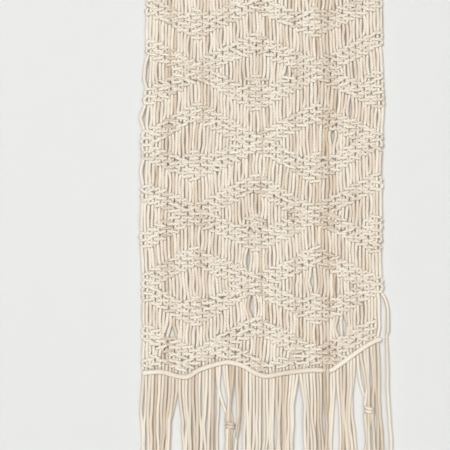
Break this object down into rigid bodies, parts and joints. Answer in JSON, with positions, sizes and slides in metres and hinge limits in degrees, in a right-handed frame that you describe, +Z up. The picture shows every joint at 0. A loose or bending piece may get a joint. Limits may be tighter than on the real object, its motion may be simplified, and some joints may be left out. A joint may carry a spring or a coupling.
{
  "type": "macrame wall hanging",
  "caption": "Knotted cotton cord panel in a diamond pattern on a wooden dowel, with a wavy rope and a long fringe below.",
  "frame": {"origin": "middle of the dowel's axis, where the hanging is held", "axes": "+Z up, -Y out of the wall towards the viewer, +X to the viewer's right"},
  "size_m": [0.43, 0.0284, 0.9803],
  "materials": {
    "dowel_wood": "bare sanded beech, matt",
    "panel_cord": "natural three-strand cotton cord, matt",
    "rope_cord": "thicker natural cotton rope, matt",
    "fringe_cord": "natural three-strand cotton cord, slightly unlaid, matt"
  },
  "bodies": {
    "rod": {"dowel": "dowel_wood"},
    "panel": {"cord_01": "panel_cord", "cord_02": "panel_cord", "cord_03": "panel_cord", "cord_04": "panel_cord", "cord_05": "panel_cord", "cord_06": "panel_cord", "cord_07": "panel_cord", "cord_08": "panel_cord", "cord_09": "panel_cord", "cord_10": "panel_cord", "cord_11": "panel_cord", "cord_12": "panel_cord", "cord_13": "panel_cord", "cord_14": "panel_cord", "cord_15": "panel_cord", "cord_16": "panel_cord", "cord_17": "panel_cord", "cord_18": "panel_cord", "cord_19": "panel_cord", "cord_20": "panel_cord", "cord_21": "panel_cord", "cord_22": "panel_cord", "cord_23": "panel_cord", "cord_24": "panel_cord", "cord_25": "panel_cord", "cord_26": "panel_cord", "cord_27": "panel_cord", "cord_28": "panel_cord", "cord_29": "panel_cord", "cord_30": "panel_cord", "cord_31": "panel_cord", "cord_32": "panel_cord", "cord_33": "panel_cord", "cord_34": "panel_cord", "cord_35": "panel_cord", "cord_36": "panel_cord", "wavy_rope": "rope_cord"},
    "tails_01": {"fringe_01": "fringe_cord"},
    "tails_02": {"fringe_02": "fringe_cord"},
    "tails_03": {"fringe_03": "fringe_cord"},
    "tails_04": {"fringe_04": "fringe_cord"},
    "tails_05": {"fringe_05": "fringe_cord"},
    "tails_06": {"fringe_06": "fringe_cord"},
    "tails_07": {"fringe_07": "fringe_cord"},
    "tails_08": {"fringe_08": "fringe_cord"},
    "tails_09": {"fringe_09": "fringe_cord"},
    "tails_10": {"fringe_10": "fringe_cord"},
    "tails_11": {"fringe_11": "fringe_cord"},
    "tails_12": {"fringe_12": "fringe_cord"},
    "tails_13": {"fringe_13": "fringe_cord"},
    "tails_14": {"fringe_14": "fringe_cord"},
    "tails_15": {"fringe_15": "fringe_cord"},
    "tails_16": {"fringe_16": "fringe_cord"},
    "tails_17": {"fringe_17": "fringe_cord"},
    "tails_18": {"fringe_18": "fringe_cord"}
  },
  "joints": [
    {"name": "panel_swing", "type": "hinge", "parent": "rod", "child": "panel", "pos_m": [0, 0, 0], "axis": [-1, 0, 0], "range_deg": [0, 60]},
    {"name": "tails_swing_01", "type": "hinge", "parent": "panel", "child": "tails_01", "pos_m": [-0.1653, 0, -0.7308], "axis": [-1, 0, 0], "range_deg": [0, 45]},
    {"name": "tails_swing_02", "type": "hinge", "parent": "panel", "child": "tails_02", "pos_m": [-0.1458, 0, -0.73], "axis": [-1, 0, 0], "range_deg": [0, 45]},
    {"name": "tails_swing_03", "type": "hinge", "parent": "panel", "child": "tails_03", "pos_m": [-0.1264, 0, -0.7353], "axis": [-1, 0, 0], "range_deg": [0, 45]},
    {"name": "tails_swing_04", "type": "hinge", "parent": "panel", "child": "tails_04", "pos_m": [-0.1069, 0, -0.7367], "axis": [-1, 0, 0], "range_deg": [0, 45]},
    {"name": "tails_swing_05", "type": "hinge", "parent": "panel", "child": "tails_05", "pos_m": [-0.0875, 0, -0.7256], "axis": [-1, 0, 0], "range_deg": [0, 45]},
    {"name": "tails_swing_06", "type": "hinge", "parent": "panel", "child": "tails_06", "pos_m": [-0.0681, 0, -0.7193], "axis": [-1, 0, 0], "range_deg": [0, 45]},
    {"name": "tails_swing_07", "type": "hinge", "parent": "panel", "child": "tails_07", "pos_m": [-0.0486, 0, -0.716], "axis": [-1, 0, 0], "range_deg": [0, 45]},
    {"name": "tails_swing_08", "type": "hinge", "parent": "panel", "child": "tails_08", "pos_m": [-0.0292, 0, -0.7207], "axis": [-1, 0, 0], "range_deg": [0, 45]},
    {"name": "tails_swing_09", "type": "hinge", "parent": "panel", "child": "tails_09", "pos_m": [-0.0097, 0, -0.7316], "axis": [-1, 0, 0], "range_deg": [0, 45]},
    {"name": "tails_swing_10", "type": "hinge", "parent": "panel", "child": "tails_10", "pos_m": [0.0097, 0, -0.7359], "axis": [-1, 0, 0], "range_deg": [0, 45]},
    {"name": "tails_swing_11", "type": "hinge", "parent": "panel", "child": "tails_11", "pos_m": [0.0292, 0, -0.732], "axis": [-1, 0, 0], "range_deg": [0, 45]},
    {"name": "tails_swing_12", "type": "hinge", "parent": "panel", "child": "tails_12", "pos_m": [0.0486, 0, -0.7294], "axis": [-1, 0, 0], "range_deg": [0, 45]},
    {"name": "tails_swing_13", "type": "hinge", "parent": "panel", "child": "tails_13", "pos_m": [0.0681, 0, -0.7274], "axis": [-1, 0, 0], "range_deg": [0, 45]},
    {"name": "tails_swing_14", "type": "hinge", "parent": "panel", "child": "tails_14", "pos_m": [0.0875, 0, -0.728], "axis": [-1, 0, 0], "range_deg": [0, 45]},
    {"name": "tails_swing_15", "type": "hinge", "parent": "panel", "child": "tails_15", "pos_m": [0.1069, 0, -0.7235], "axis": [-1, 0, 0], "range_deg": [0, 45]},
    {"name": "tails_swing_16", "type": "hinge", "parent": "panel", "child": "tails_16", "pos_m": [0.1264, 0, -0.7095], "axis": [-1, 0, 0], "range_deg": [0, 45]},
    {"name": "tails_swing_17", "type": "hinge", "parent": "panel", "child": "tails_17", "pos_m": [0.1458, 0, -0.6957], "axis": [-1, 0, 0], "range_deg": [0, 45]},
    {"name": "tails_swing_18", "type": "hinge", "parent": "panel", "child": "tails_18", "pos_m": [0.1653, 0, -0.6845], "axis": [-1, 0, 0], "range_deg": [0, 45]}
  ],
  "couplings": [
    {"joint": "tails_swing_01", "follows": "tails_swing_09", "ratio": 1},
    {"joint": "tails_swing_02", "follows": "tails_swing_09", "ratio": 1},
    {"joint": "tails_swing_03", "follows": "tails_swing_09", "ratio": 1},
    {"joint": "tails_swing_04", "follows": "tails_swing_09", "ratio": 1},
    {"joint": "tails_swing_05", "follows": "tails_swing_09", "ratio": 1},
    {"joint": "tails_swing_06", "follows": "tails_swing_09", "ratio": 1},
    {"joint": "tails_swing_07", "follows": "tails_swing_09", "ratio": 1},
    {"joint": "tails_swing_08", "follows": "tails_swing_09", "ratio": 1},
    {"joint": "tails_swing_10", "follows": "tails_swing_09", "ratio": 1},
    {"joint": "tails_swing_11", "follows": "tails_swing_09", "ratio": 1},
    {"joint": "tails_swing_12", "follows": "tails_swing_09", "ratio": 1},
    {"joint": "tails_swing_13", "follows": "tails_swing_09", "ratio": 1},
    {"joint": "tails_swing_14", "follows": "tails_swing_09", "ratio": 1},
    {"joint": "tails_swing_15", "follows": "tails_swing_09", "ratio": 1},
    {"joint": "tails_swing_16", "follows": "tails_swing_09", "ratio": 1},
    {"joint": "tails_swing_17", "follows": "tails_swing_09", "ratio": 1},
    {"joint": "tails_swing_18", "follows": "tails_swing_09", "ratio": 1}
  ]
}
